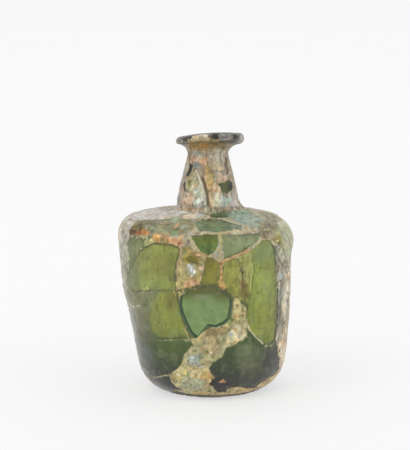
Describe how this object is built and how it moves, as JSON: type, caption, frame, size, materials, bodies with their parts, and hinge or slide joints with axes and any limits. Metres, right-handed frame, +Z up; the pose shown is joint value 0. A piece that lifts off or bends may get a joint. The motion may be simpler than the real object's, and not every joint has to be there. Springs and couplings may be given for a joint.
{
  "type": "glass bottle",
  "caption": "Ancient squat green glass bottle with a short tapering neck and disc rim, mended from fragments, weathered, with a fragment missing from the front.",
  "frame": {"origin": "bottom centre of the bounding box, on the surface the bottle stands on", "axes": "+Z up along the bottle, -Y towards the side with the missing fragment, +X to the right seen from that side"},
  "size_m": [0.0794, 0.0794, 0.1184],
  "materials": {
    "weathered_glass": "translucent olive to dark green blown glass, matt with weathering, with a flaky beige and faintly iridescent crust"
  },
  "bodies": {
    "root": {"bottle": "weathered_glass"}
  },
  "joints": []
}
